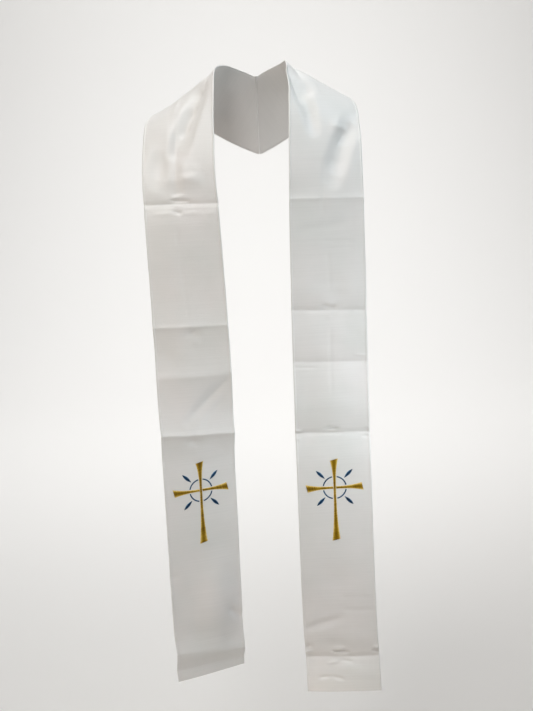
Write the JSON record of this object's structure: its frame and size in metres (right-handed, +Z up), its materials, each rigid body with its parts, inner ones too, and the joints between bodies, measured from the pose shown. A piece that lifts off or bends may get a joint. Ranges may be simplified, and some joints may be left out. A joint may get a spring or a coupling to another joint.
{
  "type": "clerical stole",
  "caption": "Long white satin stole worn round the neck, its strips hanging straight down the front, with an embroidered gold cross and blue ring near each hem.",
  "frame": {"origin": "the nape, at the centre back of the neck, where the stole bears on its wearer", "axes": "+Z up, the front faces -Y, +X is the wearer's left; the strips hang down along -Z"},
  "size_m": [0.3803, 0.238, 1.1294],
  "materials": {
    "satin": "white polyester satin, soft sheen, fine weave",
    "gold_thread": "gold rayon embroidery thread, glossy",
    "blue_thread": "blue rayon embroidery thread, glossy"
  },
  "bodies": {
    "root": {"panel_wearers_left": "satin", "panel_wearers_right": "satin", "cross_upright_wearers_left": "gold_thread", "cross_arm_outer_wearers_left": "gold_thread", "cross_arm_inner_wearers_left": "gold_thread", "ring_1_wearers_left": "blue_thread", "ring_2_wearers_left": "blue_thread", "ring_3_wearers_left": "blue_thread", "ring_4_wearers_left": "blue_thread", "leaf_1_wearers_left": "blue_thread", "leaf_2_wearers_left": "blue_thread", "leaf_3_wearers_left": "blue_thread", "leaf_4_wearers_left": "blue_thread", "cross_upright_wearers_right": "gold_thread", "cross_arm_outer_wearers_right": "gold_thread", "cross_arm_inner_wearers_right": "gold_thread", "ring_1_wearers_right": "blue_thread", "ring_2_wearers_right": "blue_thread", "ring_3_wearers_right": "blue_thread", "ring_4_wearers_right": "blue_thread", "leaf_1_wearers_right": "blue_thread", "leaf_2_wearers_right": "blue_thread", "leaf_3_wearers_right": "blue_thread", "leaf_4_wearers_right": "blue_thread"}
  },
  "joints": []
}
